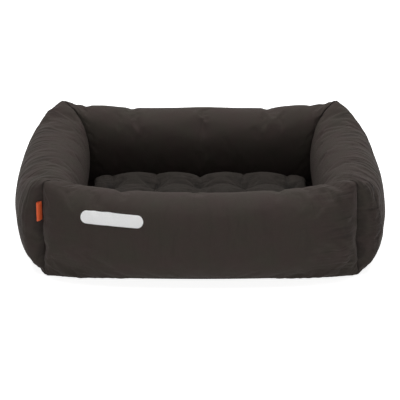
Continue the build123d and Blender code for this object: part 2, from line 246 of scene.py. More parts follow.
def settled(points):
    """How the stuffed rim stands: its low edges spread, most at the front right corner, its ends are
    drawn in above them, and its rear corners stand up."""
    x, y, height = np.moveaxis(points, -1, 0)
    front = smooth_step(0.30, -0.30, y)
    right, left = smooth_step(0.34, 0.44, x), smooth_step(-0.34, -0.44, x)
    spread = right * (foot_spread + spread_right * front) - left * (foot_spread + spread_left * front)
    foot = np.exp(-((height / foot_height) ** 2)) * spread
    drawn = waist_left * left - waist_right * right
    waist = np.exp(-(((height - waist_height) / waist_reach) ** 2)) * drawn
    slack = smooth_step(0.08, 0.12, height) * -slack_right * right * smooth_step(-0.15, 0.10, y)
    corner = ear_lift * np.exp(-((np.abs(x) - ear_x) ** 2 + (y - ear_y) ** 2) / ear_reach**2)
    ridge = ridge_lift * np.exp(-(((np.abs(x) - ridge_x) / ridge_reach) ** 2)) * smooth_step(0.22, 0.28, y)
    lift = (corner + ridge) * smooth_step(0.17, 0.25, height)
    return points + np.stack([foot + waist + slack, 0 * x, lift], -1)


class Bolster:
    """One side of the rim as a grid of rings: each ring goes over the bolster and back on the floor."""

    def __init__(self, name, runs, rounds, floors, inset=0.0):
        outward, length, reach = sides[name][:3]
        self.name = name
        self.outward = np.array([*outward, 0.0])
        self.along = np.array([-outward[1], outward[0], 0.0])
        self.reach = reach
        self.zip_half = length / 2 - inner_reach - rim_zip_end_margin
        half = length / 2 - (inset + seam_gap / 2) * math.sqrt(2)
        spots = np.linspace(-1, 1, runs)
        crowding = 1.5  # of the rings towards the seams
        self.rounds = rounds
        self.count = rounds + len(band_rows) + floors
        self.window = slice(*(rounds + row for row in window_rows))
        grid = []
        for spot in np.sign(spots) * (1 - (1 - np.abs(spots)) ** crowding):
            section = even(outline(1 - abs(spot), sides[name], inset), rounds)
            rows = np.maximum(band_rows, cloth + inset)
            band = np.stack([np.full(len(rows), inset - inner_foot), rows], 1)
            floor = np.linspace(band[-1], section[0], floors + 2)[1:-1]
            section = np.concatenate([section, band, floor])
            run = spot * (half + section[:, 0])
            grid.append(np.stack([run, section[:, 0], section[:, 1]], 1))
        self.grid = np.array(grid)
        self.snap_window()

    def snap_window(self):
        """Moves the nearest ring of the zip band to each end of the zip's window."""
        for end in (-self.zip_half, self.zip_half):
            ring = np.abs(self.grid[:, self.window.start, 0] - end).argmin()
            self.grid[ring, self.window, 0] = end

    def in_window(self, vert):
        """Whether a point of the mesh lies in the window of the zip."""
        ring, row = divmod(vert.index, self.count)
        if ring >= len(self.grid) or not self.window.start <= row < self.window.stop:
            return False
        return abs(self.grid[ring, self.window.start, 0]) <= self.zip_half + 1e-6

    def place(self, local):
        across = self.outward * (self.reach + local[..., 1:2])
        return settled(self.along * local[..., :1] + across + [0, 0, 1] * local[..., 2:])

    def uvs(self):
        """Metres along the bolster and round it, for the weave."""
        rings, count = self.grid.shape[:2]
        middle = self.grid[rings // 2]
        steps = np.linalg.norm(np.roll(middle, -1, axis=0) - middle, axis=1)
        around = np.concatenate([[0], np.cumsum(steps)])
        run = self.grid[:, self.rounds // 2, 0]
        ring, row = np.meshgrid(np.arange(rings - 1), np.arange(count), indexing="ij")
        corners = [(ring, row), (ring + 1, row), (ring + 1, row + 1), (ring, row + 1)]
        return np.stack([np.stack([run[r], around[c]], -1) for r, c in corners], -2).reshape(-1, 2)

    def mesh(self, name):
        rings, count = self.grid.shape[:2]
        points = self.place(self.grid).reshape(-1, 3)
        faces = ring_faces(rings, count)
        ends = [self.place(self.grid[ring].mean(axis=0)) for ring in (0, -1)]
        uvs = list(map(tuple, self.uvs()))
        first = rings * count
        for end, base in ((0, 0), (1, (rings - 1) * count)):
            for row in range(count):
                pair = (base + row, base + (row + 1) % count)
                faces.append((first + end, *(pair if end == 0 else pair[::-1])))
                uvs += [(0, 0), (0, 0.001), (0.001, 0)]
        return add_object(name, np.concatenate([points, ends]), faces, uvs)

    def local(self, shift):
        """A shift of each point of the mesh, in the grid's own directions."""
        shift = shift[: self.grid.shape[0] * self.count].reshape(-1, self.count, 3)
        return np.stack([shift @ self.along, shift @ self.outward, shift[..., 2]], -1)

    def thinned(self, step):
        """Keeps only every second or further ring and row, for what doesn't show."""
        self.grid = self.grid[::step, ::step]
        self.rounds = (self.rounds + step - 1) // step
        self.count = self.grid.shape[1]
        return self

    def to_seam(self):
        """How far each point lies from the nearer corner seam, along the bolster."""
        run = np.abs(self.grid[..., 0])
        return run.max(axis=0, keepdims=True) - run

    def held(self):
        """The points that a sewn seam, the zip band or the floor holds in place."""
        rings, count = self.grid.shape[:2]
        band = self.rounds - 1
        held = list(range(count)) + list(range((rings - 1) * count, rings * count + 2))
        held += [ring * count + row for ring in range(rings) for row in [0, *range(band, count)]]
        return held


cloth_settings = {
    "quality": 5,
    "mass": 0.3,
    "tension_stiffness": 15,
    "compression_stiffness": 15,
    "shear_stiffness": 5,
    "bending_stiffness": 0.5,
    "vertex_group_mass": "held",
    "use_pressure": True,
}


def puff(obj, held, pressure, slack, frames=20):
    """Where stuffing drives the cloth, which has some slack and puckers: how far each point moves."""
    start = coordinates(obj.data)
    group = obj.vertex_groups.new(name="held")
    group.add([int(i) for i in held], 1.0, "REPLACE")
    modifier = obj.modifiers.new("puff", "CLOTH")
    for setting, value in cloth_settings.items():
        setattr(modifier.settings, setting, value)
    modifier.settings.uniform_pressure_force = pressure
    modifier.settings.shrink_min = -slack
    modifier.settings.effector_weights.gravity = 0
    modifier.collision_settings.use_collision = False
    modifier.point_cache.frame_start = 1
    modifier.point_cache.frame_end = frames
    scene = bpy.context.scene
    for step in range(1, frames + 1):
        scene.frame_set(step)
    moved = coordinates(obj.evaluated_get(bpy.context.evaluated_depsgraph_get()).data)
    obj.modifiers.remove(modifier)
    obj.vertex_groups.clear()
    scene.frame_set(1)
    return moved - start


def slab(name, grid, flat, thickness):
    """A sheet of cloth with its thickness: a grid of points, and their places on the flat cloth."""
    normal = np.cross(np.gradient(grid, axis=0), np.gradient(grid, axis=1))
    normal /= np.maximum(np.linalg.norm(normal, axis=-1, keepdims=True), 1e-12)
    points, faces = between(grid + normal * thickness / 2, grid - normal * thickness / 2)
    uvs = np.concatenate([flat.reshape(-1, 2)] * 2)[faces]
    return add_object(name, points, faces.tolist(), uvs)


def tube(path, girth):
    """A closed tube: girth gives each ring's points about the path."""
    rings, count = girth.shape[:2]
    last = (rings - 1) * count
    ends = [list(range(count)), list(range(last + count - 1, last - 1, -1))]
    return (path[:, None] + girth).reshape(-1, 3), ring_faces(rings, count) + ends


def joined(name, parts):
    """One object from several lists of points and faces."""
    points, faces, first = [], [], 0
    for some, quads in parts:
        points.append(some)
        faces += [[int(i) + first for i in face] for face in quads]
        first += len(some)
    return add_object(name, np.concatenate(points), faces)


def dress(obj, material, body, node_name):
    obj.data.materials.append(material)
    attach(obj, body)
    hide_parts(node_name)
    return obj


def capped(shift, cap):
    """The shift of each point, of no more than about cap."""
    reach = np.linalg.norm(shift, axis=-1, keepdims=True)
    return shift * cap / np.maximum(cap, reach)


def blurred(values, spread, axis, wrap):
    """A Gaussian blur of a grid along one axis, in steps of the grid."""
    reach = int(3 * spread)
    weights = np.exp(-0.5 * (np.arange(-reach, reach + 1) / spread) ** 2)
    weights /= weights.sum()
    pad = [(0, 0)] * values.ndim
    pad[axis] = (reach, reach)
    padded = np.pad(values, pad, mode="wrap" if wrap else "edge")
    size = values.shape[axis]
    return sum(w * np.take(padded, np.arange(k, k + size), axis=axis) for k, w in enumerate(weights))


def smoothed(obj):
    modifier = obj.modifiers.new("smooth", "SUBSURF")
    modifier.levels = 1
    modifier.render_levels = 1


# Materials

def new_material(name):
    material = bpy.data.materials.new(name)
    material.use_nodes = True
    shader = material.node_tree.nodes["Principled BSDF"]
    return material, material.node_tree, shader


def feed(tree, made, inputs):
    """Links a node's inputs to sockets, or sets them to values."""
    for key, value in dict(inputs).items():
        if isinstance(value, bpy.types.NodeSocket):
            tree.links.new(value, made.inputs[key])
        else:
            made.inputs[key].default_value = value


def node(tree, kind, inputs=(), **settings):
    made = tree.nodes.new(kind)
    for key, value in settings.items():
        setattr(made, key, value)
    feed(tree, made, inputs)
    return made


def linear(red, green, blue):
    """A colour given from 0 to 255, as the shader takes it."""
    shares = [value / 255 for value in (red, green, blue)]
    return [v / 12.92 if v <= 0.04045 else ((v + 0.055) / 1.055) ** 2.4 for v in shares] + [1.0]


def darker(colour, share):
    return [share * value for value in colour[:3]] + [1.0]


def mix_colours(tree, factor, first, second):
    return node(tree, "ShaderNodeMix", {0: factor, 6: first, 7: second}, data_type="RGBA").outputs[2]


def math_node(tree, operation, *values, clamp=False):
    inputs = dict(enumerate(values))
    return node(tree, "ShaderNodeMath", inputs, operation=operation, use_clamp=clamp).outputs[0]


def map_range(tree, value, low, high, first=0.0, last=1.0):
    """The value taken from low and high to first and last."""
    ends = {"From Min": low, "From Max": high, "To Min": first, "To Max": last}
    return node(tree, "ShaderNodeMapRange", {"Value": value, **ends}).outputs[0]


def noise_node(tree, place, scale, detail=2.0, **others):
    inputs = {"Vector": place, "Scale": scale, "Detail": detail, **others}
    return node(tree, "ShaderNodeTexNoise", inputs).outputs["Fac"]


def stretched(tree, place, scale, turn=0.0):
    inputs = {"Vector": place, "Rotation": (0, 0, turn), "Scale": scale}
    return node(tree, "ShaderNodeMapping", inputs).outputs[0]


def bump_node(tree, height, strength, distance, **others):
    inputs = {"Height": height, "Strength": strength, "Distance": distance, **others}
    return node(tree, "ShaderNodeBump", inputs).outputs[0]


def fine_folds(tree, place):
    """Folds finer than the mesh: across the stuffed piece, and at a slant where a seam gathers it. Its
    points carry how much of each shows, and how much a seam or a crease there lies in shade."""
    heights, shades = [], []
    for share, turn, scale in (("creases", 0.0, (46, 7, 1)), ("gathers", 0.72, (9, 62, 1))):
        wave = noise_node(tree, stretched(tree, place, scale, turn), 1.0, 1.5, Distortion=0.6)
        shown = node(tree, "ShaderNodeAttribute", attribute_name=share).outputs["Fac"]
        heights.append(math_node(tree, "MULTIPLY", wave, shown))
        # Painted shade: the low parts of each fold darken the colour
        shades.append(math_node(tree, "MULTIPLY", map_range(tree, wave, 0.48, 0.30), shown))
    # The groove share is painted shade along the seams, at the tufts and in the mattress's creases
    groove = node(tree, "ShaderNodeAttribute", attribute_name="groove").outputs["Fac"]
    shade = math_node(tree, "MULTIPLY", math_node(tree, "ADD", *shades), 0.45)
    shade = math_node(tree, "ADD", shade, groove, clamp=True)
    return bump_node(tree, math_node(tree, "ADD", *heights), 1.0, 0.012), shade


def woven(name, dark, light, pitch, depth, sheen=0.25, roughness=0.9, slub=0.5, tint=None, folded=False):
    """Plain-woven cloth: threads over and under at their own pitch, with uneven yarn."""
    material, tree, shader = new_material(name)
    dark, light = linear(*dark), linear(*light)
    place = node(tree, "ShaderNodeUVMap", uv_map="weave").outputs[0]
    threads, yarns = [], []
    for direction, scale in (("X", (60, 1400, 1)), ("Y", (1400, 60, 1))):
        inputs = {"Vector": place, "Scale": math.pi / 20 / pitch}
        wave = node(tree, "ShaderNodeTexWave", inputs, bands_direction=direction).outputs["Fac"]
        threads.append(math_node(tree, "SUBTRACT", wave, 0.5))
        yarns.append(noise_node(tree, stretched(tree, place, scale), 1.0))
    height = math_node(tree, "MULTIPLY_ADD", math_node(tree, "MULTIPLY", *threads), 2.0, 0.5)
    yarn = math_node(tree, "ADD", *yarns)
    yarn = math_node(tree, "MULTIPLY_ADD", yarn, slub, 0.5 - slub, clamp=True)
    colour = mix_colours(tree, yarn, dark, light)
    if tint is not None:
        share = map_range(tree, noise_node(tree, place, 14.0, 3.0), 0.35, 0.7)
        tinted = mix_colours(tree, yarn, *(linear(*part) for part in tint))
        colour = mix_colours(tree, share, colour, tinted)
    # Painted shade: the low parts of the weave, between the threads, are darkened in the colour
    gap_shade = map_range(tree, height, 0.0, 0.5, 0.75)
    colour = mix_colours(tree, gap_shade, darker(dark, 0.35), colour)
    rough = map_range(tree, yarn, 0.0, 1.0, roughness + 0.05, roughness - 0.08)
    fuzz = noise_node(tree, place, 2500.0)
    beneath = {}
    if folded:
        beneath["Normal"], shade = fine_folds(tree, place)
        # Painted shade: the hollows of the fine folds and the grooves are darkened in the colour, besides
        # bending the normal
        colour = mix_colours(tree, shade, colour, darker(dark, 0.3))
    bump = bump_node(tree, math_node(tree, "MULTIPLY_ADD", fuzz, 0.35, height), 0.8, depth, **beneath)
    feed(tree, shader, {"Base Color": colour, "Roughness": rough, "Normal": bump})
    feed(tree, shader, {"Sheen Weight": sheen, "Sheen Roughness": 0.45, "Sheen Tint": light})
    feed(tree, shader, {"Specular IOR Level": 0.25})
    return material


def fibrous(name, dark, light, scale, depth):
    """Loose polyester fibre or foam: soft lumps with a fine grain."""
    material, tree, shader = new_material(name)
    place = node(tree, "ShaderNodeTexCoord").outputs["Object"]
    lumps = noise_node(tree, place, scale, 6.0, Roughness=0.7)
    grain = noise_node(tree, place, scale * 14, 3.0)
    colour = mix_colours(tree, lumps, linear(*dark), linear(*light))
    bump = bump_node(tree, math_node(tree, "MULTIPLY_ADD", grain, 0.3, lumps), 0.7, depth)
    feed(tree, shader, {"Base Color": colour, "Normal": bump, "Roughness": 0.95, "Sheen Weight": 0.4})
    return material


def metal(name, colour, roughness):
    """Cast and plated zip metal with fine scuffs."""
    material, tree, shader = new_material(name)
    place = node(tree, "ShaderNodeTexCoord").outputs["Object"]
    colour = linear(*colour)
    scuffs = noise_node(tree, place, 900.0, 4.0)
    rough = map_range(tree, scuffs, 0.0, 1.0, roughness - 0.1, roughness + 0.15)
    colour = mix_colours(tree, scuffs, darker(colour, 0.6), colour)
    bump = bump_node(tree, scuffs, 0.3, 0.00005)
    feed(tree, shader, {"Base Color": colour, "Roughness": rough, "Normal": bump, "Metallic": 0.9})
    return material


cover_weave = woven(
    "cover_weave", (50, 42, 39), (62, 52, 49), pitch=0.0009, depth=0.00025,
    tint=((48, 44, 38), (60, 55, 49)), folded=True,
)
# The mattress has the cover's cloth with painted shade: its colours are darker, as it lies shaded in the
# well
mattress_weave_shaded = woven(
    "mattress_weave_shaded", (33, 28, 25), (42, 36, 32), pitch=0.0009, depth=0.00025,
    tint=((32, 28, 24), (40, 36, 31)), folded=True,
)
lining_weave = woven("lining_weave", (50, 45, 42), (64, 58, 54), pitch=0.0007, depth=0.00015)
bottom_weave = woven("bottom_weave", (30, 29, 28), (42, 40, 39), pitch=0.0011, depth=0.0003)
tape_weave = woven("tape_weave", (38, 34, 32), (52, 47, 44), pitch=0.0006, depth=0.0001)
ribbon_weave = woven(
    "ribbon_weave", (222, 84, 42), (246, 116, 68), pitch=0.0008, depth=0.0002,
    sheen=0.2, roughness=0.6, slub=0.25,
)
patch_weave = woven(
    "patch_weave", (247, 247, 247), (253, 253, 253), pitch=0.0004, depth=0.00006,
    sheen=0.3, roughness=0.55, slub=0.25,
)
thread = woven("thread", (44, 39, 36), (62, 55, 51), pitch=0.0004, depth=0.0001)
patch_thread = woven(
    "patch_thread", (214, 214, 214), (236, 236, 236), pitch=0.0003, depth=0.00005,
    slub=0.25,
)
coil_plastic = woven(
    "coil_plastic", (30, 27, 26), (40, 37, 35), pitch=0.0006, depth=0.00005,
    sheen=0.0, roughness=0.45,
)
fibre = fibrous("fibre", (214, 213, 208), (244, 243, 240), scale=60.0, depth=0.004)
foam = fibrous("foam", (206, 190, 142), (224, 210, 166), scale=900.0, depth=0.0006)
zip_metal = metal("zip_metal", (128, 124, 120), roughness=0.4)


# Rim

def cut_window(obj, within, inward):
    """Opens a zip's window, where a face has all its points within it, and folds its edge inward."""
    work = bmesh.new()
    work.from_mesh(obj.data)
    gone = [face for face in work.faces if all(within(vert) for vert in face.verts)]
    window = {edge for face in gone for edge in face.edges}
    bmesh.ops.delete(work, geom=gone, context="FACES")
    edges = [edge for edge in work.edges if edge.is_boundary and edge in window]
    fold = bmesh.ops.extrude_edge_only(work, edges=edges)["geom"]
    verts = [item for item in fold if isinstance(item, bmesh.types.BMVert)]
    bmesh.ops.translate(work, verts=verts, vec=Vector(inward))
    work.to_mesh(obj.data)
    work.free()
    obj.data.update()


def pucker_share(bolster):
    """How much of the cloth's puckering shows: all of it on top and by the corners, less elsewhere."""
    _, out, height = np.moveaxis(bolster.grid, -1, 0)
    inside = smooth_step(0.0, -0.03, out) * smooth_step(0.225, 0.17, height)
    outside = smooth_step(0.02, 0.05, out) * smooth_step(0.16, 0.09, height)
    return (1 - 0.75 * inside) * (1 - 0.5 * outside)


def fold_shares(bolster):
    """Where the fine folds of the cover show: across the outer top of the side bolsters, and at a slant
    beside the corner seams, most at the front right one."""
    run, out, height = np.moveaxis(bolster.grid, -1, 0)
    rows = np.arange(bolster.count) < bolster.rounds
    to_seam = bolster.to_seam()
    ends = {"front": 1, "right": -1}
    strong = (np.sign(run) == ends[bolster.name]) if bolster.name in ends else 0 * run
    ending = smooth_step(0.002, 0.02, to_seam) * np.exp(-((to_seam / 0.085) ** 2))
    gathers = ending * smooth_step(0.01, 0.04, height) * smooth_step(-0.06, 0.0, out) * (0.2 + 0.8 * strong)
    side = 1.0 if bolster.name in ("left", "right") else 0.15
    outer = smooth_step(-0.05, 0.03, out) * smooth_step(0.03, 0.10, height)
    creases = side * outer * smooth_step(0.0, 0.04, to_seam)
    # Painted shade along the corner seam, darkening the colour only
    groove = 0.5 * np.exp(-((to_seam / 0.0025) ** 2))
    return {"groove": groove * rows, "creases": 1.3 * creases * rows, "gathers": gathers * rows}


def wrinkles(bolster, seed):
    """Fine folds that the simulated grid is too coarse for, as heights off the cloth."""
    run, out, height = np.moveaxis(bolster.grid, -1, 0)
    row_pitch = 0.0063
    girth = np.broadcast_to(np.arange(bolster.count) * row_pitch, run.shape)
    to_seam = bolster.to_seam()
    flat = np.stack([run, girth, np.zeros_like(run)], -1).reshape(-1, 3)

    def folds(along, around, shift):
        return field(flat * [along, around, 1], 1.0, seed + shift).reshape(run.shape)

    rows = np.arange(bolster.count) < bolster.rounds
    outer = smooth_step(-0.04, 0.02, out) * smooth_step(0.05, 0.12, height)
    top_end = smooth_step(0.12, 0.19, height) * np.exp(-(((to_seam - 0.035) / 0.035) ** 2))
    groove = np.exp(-((to_seam / 0.004) ** 2))
    slant = np.stack([to_seam - height, 0.35 * (to_seam + height), 0 * run], -1).reshape(-1, 3)
    slant_folds = field(slant * 46, 1.0, seed + 7.7).reshape(run.shape)
    across_depth = 0.0012 if bolster.name in ("left", "right") else 0.0004
    top_depth, slant_depth, groove_depth = 0.0016, 0.0075, 0.0008
    return rows * (
        across_depth * folds(26, 5, 0.3) * outer
        + top_depth * folds(75, 9, 4.1) * top_end
        + slant_depth * slant_folds * fold_shares(bolster)["gathers"]
        - groove_depth * groove
    )


def make_bolster(name):
    """One side of the rim: its stuffed cover with the zip's window, and the filling inside it."""
    size = (151 if name in ("front", "rear") else 121, 116, 12)
    bolster = Bolster(name, *size)
    inner = Bolster(name, *size, inset=filling_inset)
    obj = bolster.mesh(f"{name}_bolster")
    # The puckers stay, and most of the swelling is left out, as the form has its bulge already
    most, spread, kept = 0.02, 7, 0.15
    shift = bolster.local(capped(puff(obj, bolster.held(), pressure=4, slack=0.03), most))
    swelling = blurred(blurred(shift, spread, 0, False), spread, 1, True)
    bolster.grid += kept * swelling + pucker_share(bolster)[..., None] * (shift - swelling)
    inner.grid += kept * swelling
    ends = coordinates(obj.data)[-2:]
    set_coordinates(obj.data, np.concatenate([bolster.place(bolster.grid).reshape(-1, 3), ends]))
    for share, values in fold_shares(bolster).items():
        set_share(obj.data, share, values)
    lift_points(obj.data, wrinkles(bolster, seed=7.3 * len(name)).ravel())
    cut_window(obj, bolster.in_window, bolster.outward * cloth)
    smoothed(obj)
    dress(obj, cover_weave, "rim", f"rim_cover_{name}")

    filling = inner.thinned(2).mesh(f"{name}_filling")
    lump_depth = 0.002
    lift_points(filling.data, field(coordinates(filling.data), 28, seed=3.1) * lump_depth)
    smoothed(filling)
    dress(filling, fibre, "rim", f"rim_fill_{name}")
    return obj


# Mattress

def mattress_plan(across, deep, inset=0.0):
    """A point of the plan from shares -1 to 1: a rectangle with drawn-in sides and round corners."""
    half_length = mattress_length / 2 - side_draw * (1 - deep**4) - inset
    half_depth = mattress_depth / 2 - side_draw * (1 - across**2) * (deep < 0) - inset
    x, y = across * half_length, deep * half_depth
    near_x = np.maximum(0, mattress_corner - (half_length - np.abs(x)))
    near_y = np.maximum(0, mattress_corner - (half_depth - np.abs(y)))
    reach = np.hypot(near_x, near_y)
    shrink = np.where(reach > 1e-9, np.maximum(near_x, near_y) / np.maximum(reach, 1e-9), 1)
    x -= np.sign(x) * near_x * (1 - shrink)
    y -= np.sign(y) * near_y * (1 - shrink)
    return x, y


def tuft_sink(x, y):
    """How far the tufts and the valleys between them draw the top down."""
    near_x = np.abs(x[..., None] - tuft_columns)
    near_y = np.abs(y[..., None] - tuft_rows)
    to_tuft = np.hypot(near_x[..., :, None], near_y[..., None, :]).min(axis=(-1, -2))
    valley = np.maximum(np.exp(-near_x.min(-1) / valley_reach), np.exp(-near_y.min(-1) / valley_reach))
    tuft = np.exp(-((to_tuft / tuft_reach) ** 1.3))
    return valley_depth * valley + (tuft_depth - valley_depth) * tuft


def tuft_creases(x, y):
    """The folds that run out of a tuft where its tie gathers the cloth, to either side and forward: how
    deep each point lies in one, from 0 to 1."""
    share = 0 * x
    for number, column in enumerate(tuft_columns):
        for place, row in enumerate(tuft_rows):
            for turn in (62, 118, 205, -25):
                angle = math.radians(turn + 23 * math.sin(5.1 * number + 2.3 * place + turn))
                along = (x - column) * math.cos(angle) + (y - row) * math.sin(angle)
                aside = (y - row) * math.cos(angle) - (x - column) * math.sin(angle)
                reach = smooth_step(0.0, 0.012, along) * np.exp(-along.clip(0) / 0.028)
                share = np.maximum(share, reach * np.exp(-((aside / 0.005) ** 2)))
    return share


def rolled(across, deep, roll):
    """How far the surface has risen from its edge, from 0 to 1, with the edge rounded over roll."""
    near = [np.minimum(1, (1 - np.abs(share)) / part) for share, part in zip((across, deep), roll)]
    return np.sqrt(1 - (1 - near[0]) ** 2) * np.sqrt(1 - (1 - near[1]) ** 2)


def mattress_top(x, y, across, deep):
    """Height of the top: it rolls over from the border and puffs up between the tufts."""
    spread = (2 * x / mattress_length) ** 2 + (2 * y / mattress_depth) ** 2
    crown = mattress_thickness - crown_drop * spread / 2 - tuft_sink(x, y)
    return rest_height + border_top + (crown - border_top) * rolled(across, deep, top_roll)


def mattress_underside(x, y, across, deep):
    """Height of the underside: flat, with a rounded edge."""
    return rest_height + border_bottom * (1 - rolled(across, deep, underside_roll))


def mattress_half(columns, rows, height, border):
    """One half of the cover: a grid of the plan, and rows of border from its edge to the zip height."""
    across, deep = plan_shares(columns, rows)
    x, y = mattress_plan(across, deep)
    plan = np.stack([x, y, height(x, y, across, deep)], -1).reshape(-1, 3)
    faces, edge = grid_faces(columns, rows)
    points, quads, rings = [plan], [faces], [edge]
    for number, level in enumerate(border):
        ring = plan[edge].copy()
        ring[:, 2] = level
        points.append(ring)
        rings.append(len(plan) + number * len(edge) + np.arange(len(edge)))
        upper, lower = rings[-2:]
        quads.append(np.stack([upper, lower, np.roll(lower, -1), np.roll(upper, -1)], -1))
    quads = np.concatenate(quads)
    if height is mattress_underside:
        quads = quads[:, ::-1]
    return np.concatenate(points), quads, rings


def mattress_uvs(points, quads, rings):
    """The plan in metres, and round the border the run and the height."""
    edge = points[rings[0]]
    steps = np.linalg.norm(np.roll(edge, -1, axis=0) - edge, axis=1)
    run = np.concatenate([[0], np.cumsum(steps)])
    uvs = points[:, :2][quads]
    spot = {int(vertex): place for ring in rings for place, vertex in enumerate(ring)}
    first = len(quads) - sum(len(ring) for ring in rings[1:])
    for number in range(first, len(quads)):
        places = [spot[int(vertex)] for vertex in quads[number]]
        wrap = max(places) - min(places) > 1
        for corner, vertex in enumerate(quads[number]):
            along = run[-1] if wrap and places[corner] == 0 else run[places[corner]]
            uvs[number, corner] = (along, points[int(vertex), 2])
    return uvs.reshape(-1, 2)


def in_mattress_window(vert):
    """Whether a point of the mattress's cover lies in the window of its zip."""
    x, y, z = vert.co
    near = 0.0001
    level = abs(z - mattress_zip_height) < window_height / 2 + near
    return level and y > mattress_depth / 2 - near and abs(x) < mattress_zip_length / 2 + near


def mattress_cover(name, columns, rows, height, border):
    """One half of the cover, with the window of its zip snapped to the nearest points of its border."""
    points, quads, rings = mattress_half(columns, rows, height, border)
    vertices = np.concatenate(rings)
    near = 0.0001
    rear = vertices[points[vertices, 1] > mattress_depth / 2 - near]
    for end in (-mattress_zip_length / 2, mattress_zip_length / 2):
        to_end = np.abs(points[rear, 0] - end)
        points[rear[to_end < to_end.min() + near], 0] = end
    uvs = mattress_uvs(points, quads, rings)
    return add_object(f"mattress_{name}", points, quads.tolist(), uvs), rings


def make_mattress():
    """The two halves of the cover, the foam and the ties."""
    columns, rows = 125, 89
    half_window, most = window_height / 2, 0.010
    levels = [rest_height + border_top - 0.0075, mattress_zip_height + half_window, mattress_zip_height]
    top, rings = mattress_cover("top", columns, rows, mattress_top, levels)
    points = coordinates(top.data)
    plan = points[: columns * rows]
    to_tufts = [np.hypot(plan[:, 0] - x, plan[:, 1] - y) for x in tuft_columns for y in tuft_rows]
    held = [*(to_tuft.argmin() for to_tuft in to_tufts), *np.concatenate(rings[1:])]
    points += capped(puff(top, held, pressure=3, slack=0.05), most)
    puffs = points[: columns * rows].reshape(columns, rows, 3)
    folds = tuft_creases(puffs[..., 0], puffs[..., 1])
    puffs[..., 2] -= crease_depth * folds
    set_coordinates(top.data, points)
    to_column = np.abs(puffs[..., 0, None] - tuft_columns).min(-1)
    to_row = np.abs(puffs[..., 1, None] - tuft_rows).min(-1)
    away = np.hypot(to_column, to_row)
    # Painted shade: the tufts and the creases of the top are darkened in the colour
    set_share(top.data, "groove", np.maximum(0.75 * folds, 0.8 * np.exp(-((away / 0.007) ** 2))))
    for share in ("creases", "gathers"):
        set_share(top.data, share, np.exp(-away / 0.05))
    levels = [rest_height + border_bottom + 0.007, mattress_zip_height - half_window, mattress_zip_height]
    bottom, _ = mattress_cover("bottom", columns, rows, mattress_underside, levels)
    for half, obj in (("top", top), ("bottom", bottom)):
        cut_window(obj, in_mattress_window, (0, -cloth, 0))
        smoothed(obj)
        dress(obj, mattress_weave_shaded, "mattress", f"mattress_cover_{half}")
    make_core(puffs[::2, ::2, 2])
    make_ties(puffs)


def make_core(above):
    """The foam in the cover: it follows the puffed top from below and lies flat underneath."""
    across, deep = plan_shares(*above.shape)
    x, y = mattress_plan(across, deep, foam_gap)
    low = mattress_underside(x, y, across, deep) + foam_floor_gap
    high = np.maximum(above - foam_gap, low + foam_least)
    points, faces = between(np.stack([x, y, high], -1), np.stack([x, y, low], -1))
    core = add_object("mattress_foam", points, faces.tolist())
    dress(core, foam, "mattress", "mattress_core")


def make_ties(puffs):
    """A thread through the mattress at every tuft, with a knot that holds the cloth down."""
    turn = np.linspace(0, 2 * np.pi, 13)[:-1]
    ring = np.stack([np.cos(turn), np.sin(turn), 0 * turn], -1)
    tied = [(0.0006, 0.0083), (0.0011, 0.0088)]
    knot = [(0.0011, -0.0015), (0.0024, -0.0003), (0.0030, 0.0006), (0.0024, 0.0015), (0.0010, 0.0019)]
    parts = []
    for column in tuft_columns:
        for row in tuft_rows:
            near = np.hypot(puffs[..., 0] - column, puffs[..., 1] - row)
            top = puffs.reshape(-1, 3)[int(near.argmin()), 2]
            profile = tied + [(radius, top + rise) for radius, rise in knot]
            path = np.array([(column, row, height) for _, height in profile])
            parts.append(tube(path, np.array([radius * ring for radius, _ in profile])))
    dress(joined("mattress_ties", parts), thread, "mattress", "mattress_tuft_ties")


# Base

def quilting(x, y):
    """The stitched diagonals of the lining, as a depth below its puffs."""
    rows = [(x + sign * y) / quilt_pitch for sign in (-1, 1)]
    nearest = np.minimum(*(np.abs(row - np.round(row)) for row in rows))
    return quilt_depth * np.exp(-((nearest * quilt_pitch / quilt_width) ** 2))


def make_base():
    """The bottom cloth under the whole rim, and the wadding and the lining in its well."""
    across, deep = plan_shares(29, 23)
    bow = outer_foot_middle - outer_foot_corner
    x = across * (seam_length / 2 + outer_foot_corner + bow * (1 - deep**2))
    y = deep * (seam_depth / 2 + outer_foot_corner + bow * (1 - across**2))
    flat = np.stack([x, y], -1)
    under = slab("bed_bottom", np.stack([x, y, 0 * x + cloth / 2], -1), flat, bottom_thickness)
    dress(under, bottom_weave, "rim", "base_bottom")

    well = [size / 2 - inner_foot - base_edge_gap for size in (seam_length, seam_depth)]
    across, deep = plan_shares(170, 132)
    x, y = across * well[0], deep * well[1]
    flat = np.stack([x, y], -1)
    top = cloth + wadding_thickness - quilting(x, y) - layer_gap
    middle = (top + cloth + layer_gap) / 2
    wadding = slab("bed_wadding", np.stack([x, y, middle], -1), flat, wadding_filled)
    dress(wadding, fibre, "rim", "base_wadding")
    lining = slab("bed_lining", np.stack([x, y, top + lining_lift], -1), flat, lining_thickness)
    dress(lining, lining_weave, "rim", "base_lining")


# Tab and patch

